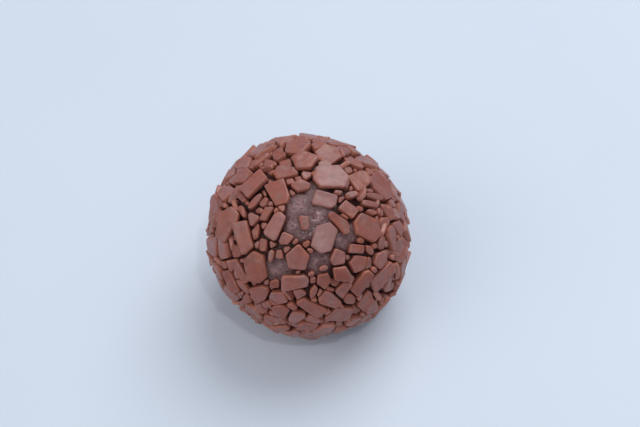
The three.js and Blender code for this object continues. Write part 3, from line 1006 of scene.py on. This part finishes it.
def fudge_material():
    nodes = Nodes("cocoa_fudge")
    wet, bare = nodes.value_at_point("wet"), nodes.value_at_point("bare")
    blotch = nodes.mapped(nodes.noise(**FUDGE_BLOTCH), *FUDGE_SPAN)
    base = nodes.mixed(blotch, *[colour(*end) for end in FUDGE_COLOURS])
    # painted shade: outside the bare patches the fudge takes the near-black gap colour
    base = nodes.mixed(bare, colour(*FUDGE_GAP_SHADE), nodes.layered(base, FUDGE_LAYERS))
    nodes.join(base, nodes.shader.inputs["Base Color"])
    dry = nodes.mapped(nodes.noise(FUDGE_GLOSS_SIZE), *FUDGE_SPAN, *FUDGE_ROUGHNESS)
    moist = nodes.combined("MULTIPLY", dry, nodes.mapped(wet, 0.0, 1.0, 1.0, WET_ROUGHNESS))
    dull = nodes.combined("MAXIMUM", moist, nodes.mapped(bare, 0.0, 1.0, GAP_ROUGHNESS, 0.0))
    nodes.join(dull, nodes.shader.inputs["Roughness"])
    nodes.shader.inputs["Coat Weight"].default_value = FUDGE_COAT
    nodes.shader.inputs["Coat Roughness"].default_value = FUDGE_COAT_ROUGHNESS
    smoother = nodes.mapped(wet, 0.0, 1.0, 1.0, WET_BUMP)
    grains = nodes.combined("MULTIPLY", nodes.noise(**FUDGE_GRAIN), smoother)
    settings, high = FUDGE_FINE_BUMP
    nodes.bumped([(grains, FUDGE_BUMP), (nodes.noise(**settings), high)])
    return nodes.material


def floor_material():
    nodes = Nodes("pale_floor")
    pale = nodes.mixed(nodes.noise(**FLOOR_NOISE), *[colour(*end) for end in FLOOR_COLOURS])
    nodes.join(pale, nodes.shader.inputs["Base Color"])
    nodes.shader.inputs["Roughness"].default_value = FLOOR_ROUGHNESS
    return nodes.material


# ---------- Floor, lights and camera ----------

LENS = 85
SENSOR = 36
VIEW_WIDTH = 106.3  # millimetres across the picture, at the ball
AIM_RIGHT, AIM_UP = 1.83, 3.05  # how far the picture's middle lies right of the ball's and above it
NEAREST_SEEN, FURTHEST_SEEN = 0.01, 10  # metres
FLOOR_REACH = 5  # metres, each way
SKY_COLOUR = (0.80, 0.88, 1.0, 1)
SKY_STRENGTH = 0.5
# Angles in degrees, from the face's side round to the right and up; distances and sizes in metres.
LIGHTS = (
    {"name": "window", "azimuth": 150, "elevation": 55, "distance": 0.8, "size": 0.7, "watts": 4.35,
     "tint": (0.92, 0.96, 1.0)},
    {"name": "fill", "azimuth": -60, "elevation": 42, "distance": 0.9, "size": 0.8, "watts": 2.4,
     "tint": (1.0, 0.95, 0.9)},
    {"name": "lamp", "azimuth": 20, "elevation": 66, "distance": 0.6, "size": 0.032, "watts": 0.4,
     "tint": (1.0, 1.0, 1.0)},
)


def add_floor():
    mesh = bpy.data.meshes.new("floor")
    signs = ((-1, -1), (1, -1), (1, 1), (-1, 1))
    corners = [(FLOOR_REACH * x, FLOOR_REACH * y, 0) for x, y in signs]
    mesh.from_pydata(corners, [], [(0, 1, 2, 3)])
    mesh.materials.append(floor_material())
    floor = bpy.data.objects.new("floor", mesh)
    bpy.context.scene.collection.objects.link(floor)


def add_light(name, azimuth, elevation, distance, size, watts, tint):
    data = bpy.data.lights.new(name, "AREA")
    data.shape = "DISK"
    data.size = size
    data.energy = watts
    data.color = tint
    light = bpy.data.objects.new(name, data)
    turn, rise = math.radians(azimuth), math.radians(elevation)
    away = Vector((math.sin(turn) * math.cos(rise), -math.cos(turn) * math.cos(rise), math.sin(rise)))
    light.location = Vector(centre) * MM + away * distance
    light.rotation_mode = "QUATERNION"
    light.rotation_quaternion = away.to_track_quat("Z", "Y")
    bpy.context.scene.collection.objects.link(light)


def add_world():
    world = bpy.data.worlds.new("studio")
    world.use_nodes = True
    background = world.node_tree.nodes["Background"]
    background.inputs["Color"].default_value = SKY_COLOUR
    background.inputs["Strength"].default_value = SKY_STRENGTH
    bpy.context.scene.world = world


def add_camera():
    data = bpy.data.cameras.new("camera")
    data.lens = LENS
    data.sensor_width = SENSOR
    data.clip_start = NEAREST_SEEN
    data.clip_end = FURTHEST_SEEN
    camera = bpy.data.objects.new("camera", data)
    back = Vector(face_axis)
    low, high = (np.array(corner) for corner in cad_box)
    ball_middle = (low + high) / 2
    aim = ball_middle + MM * (AIM_RIGHT * face_right + AIM_UP * face_up)
    camera.location = Vector(aim) + back * (VIEW_WIDTH * MM * LENS / SENSOR)
    camera.rotation_mode = "QUATERNION"
    camera.rotation_quaternion = back.to_track_quat("Z", "Y")
    bpy.context.scene.collection.objects.link(camera)
    bpy.context.scene.camera = camera


# ---------- The scene ----------

flakes = [tipped(flake) for flake in flakes_of(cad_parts[NODE])]
slivers = slivers_between(flakes)
bits = bits_between(flakes + slivers)

chocolate = flake_material()
fudge = fudge_piece(fudge_material(), flakes + slivers + bits)
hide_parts(NODE)
coat_piece("flakes", flakes, chocolate, fine=True)
coat_piece("flake_slivers", slivers, chocolate, fine=True)
coat_piece("flake_bits", bits, chocolate, fine=False)

add_floor()
add_world()
for light in LIGHTS:
    add_light(**light)
add_camera()
bpy.context.scene.view_settings.view_transform = "Standard"
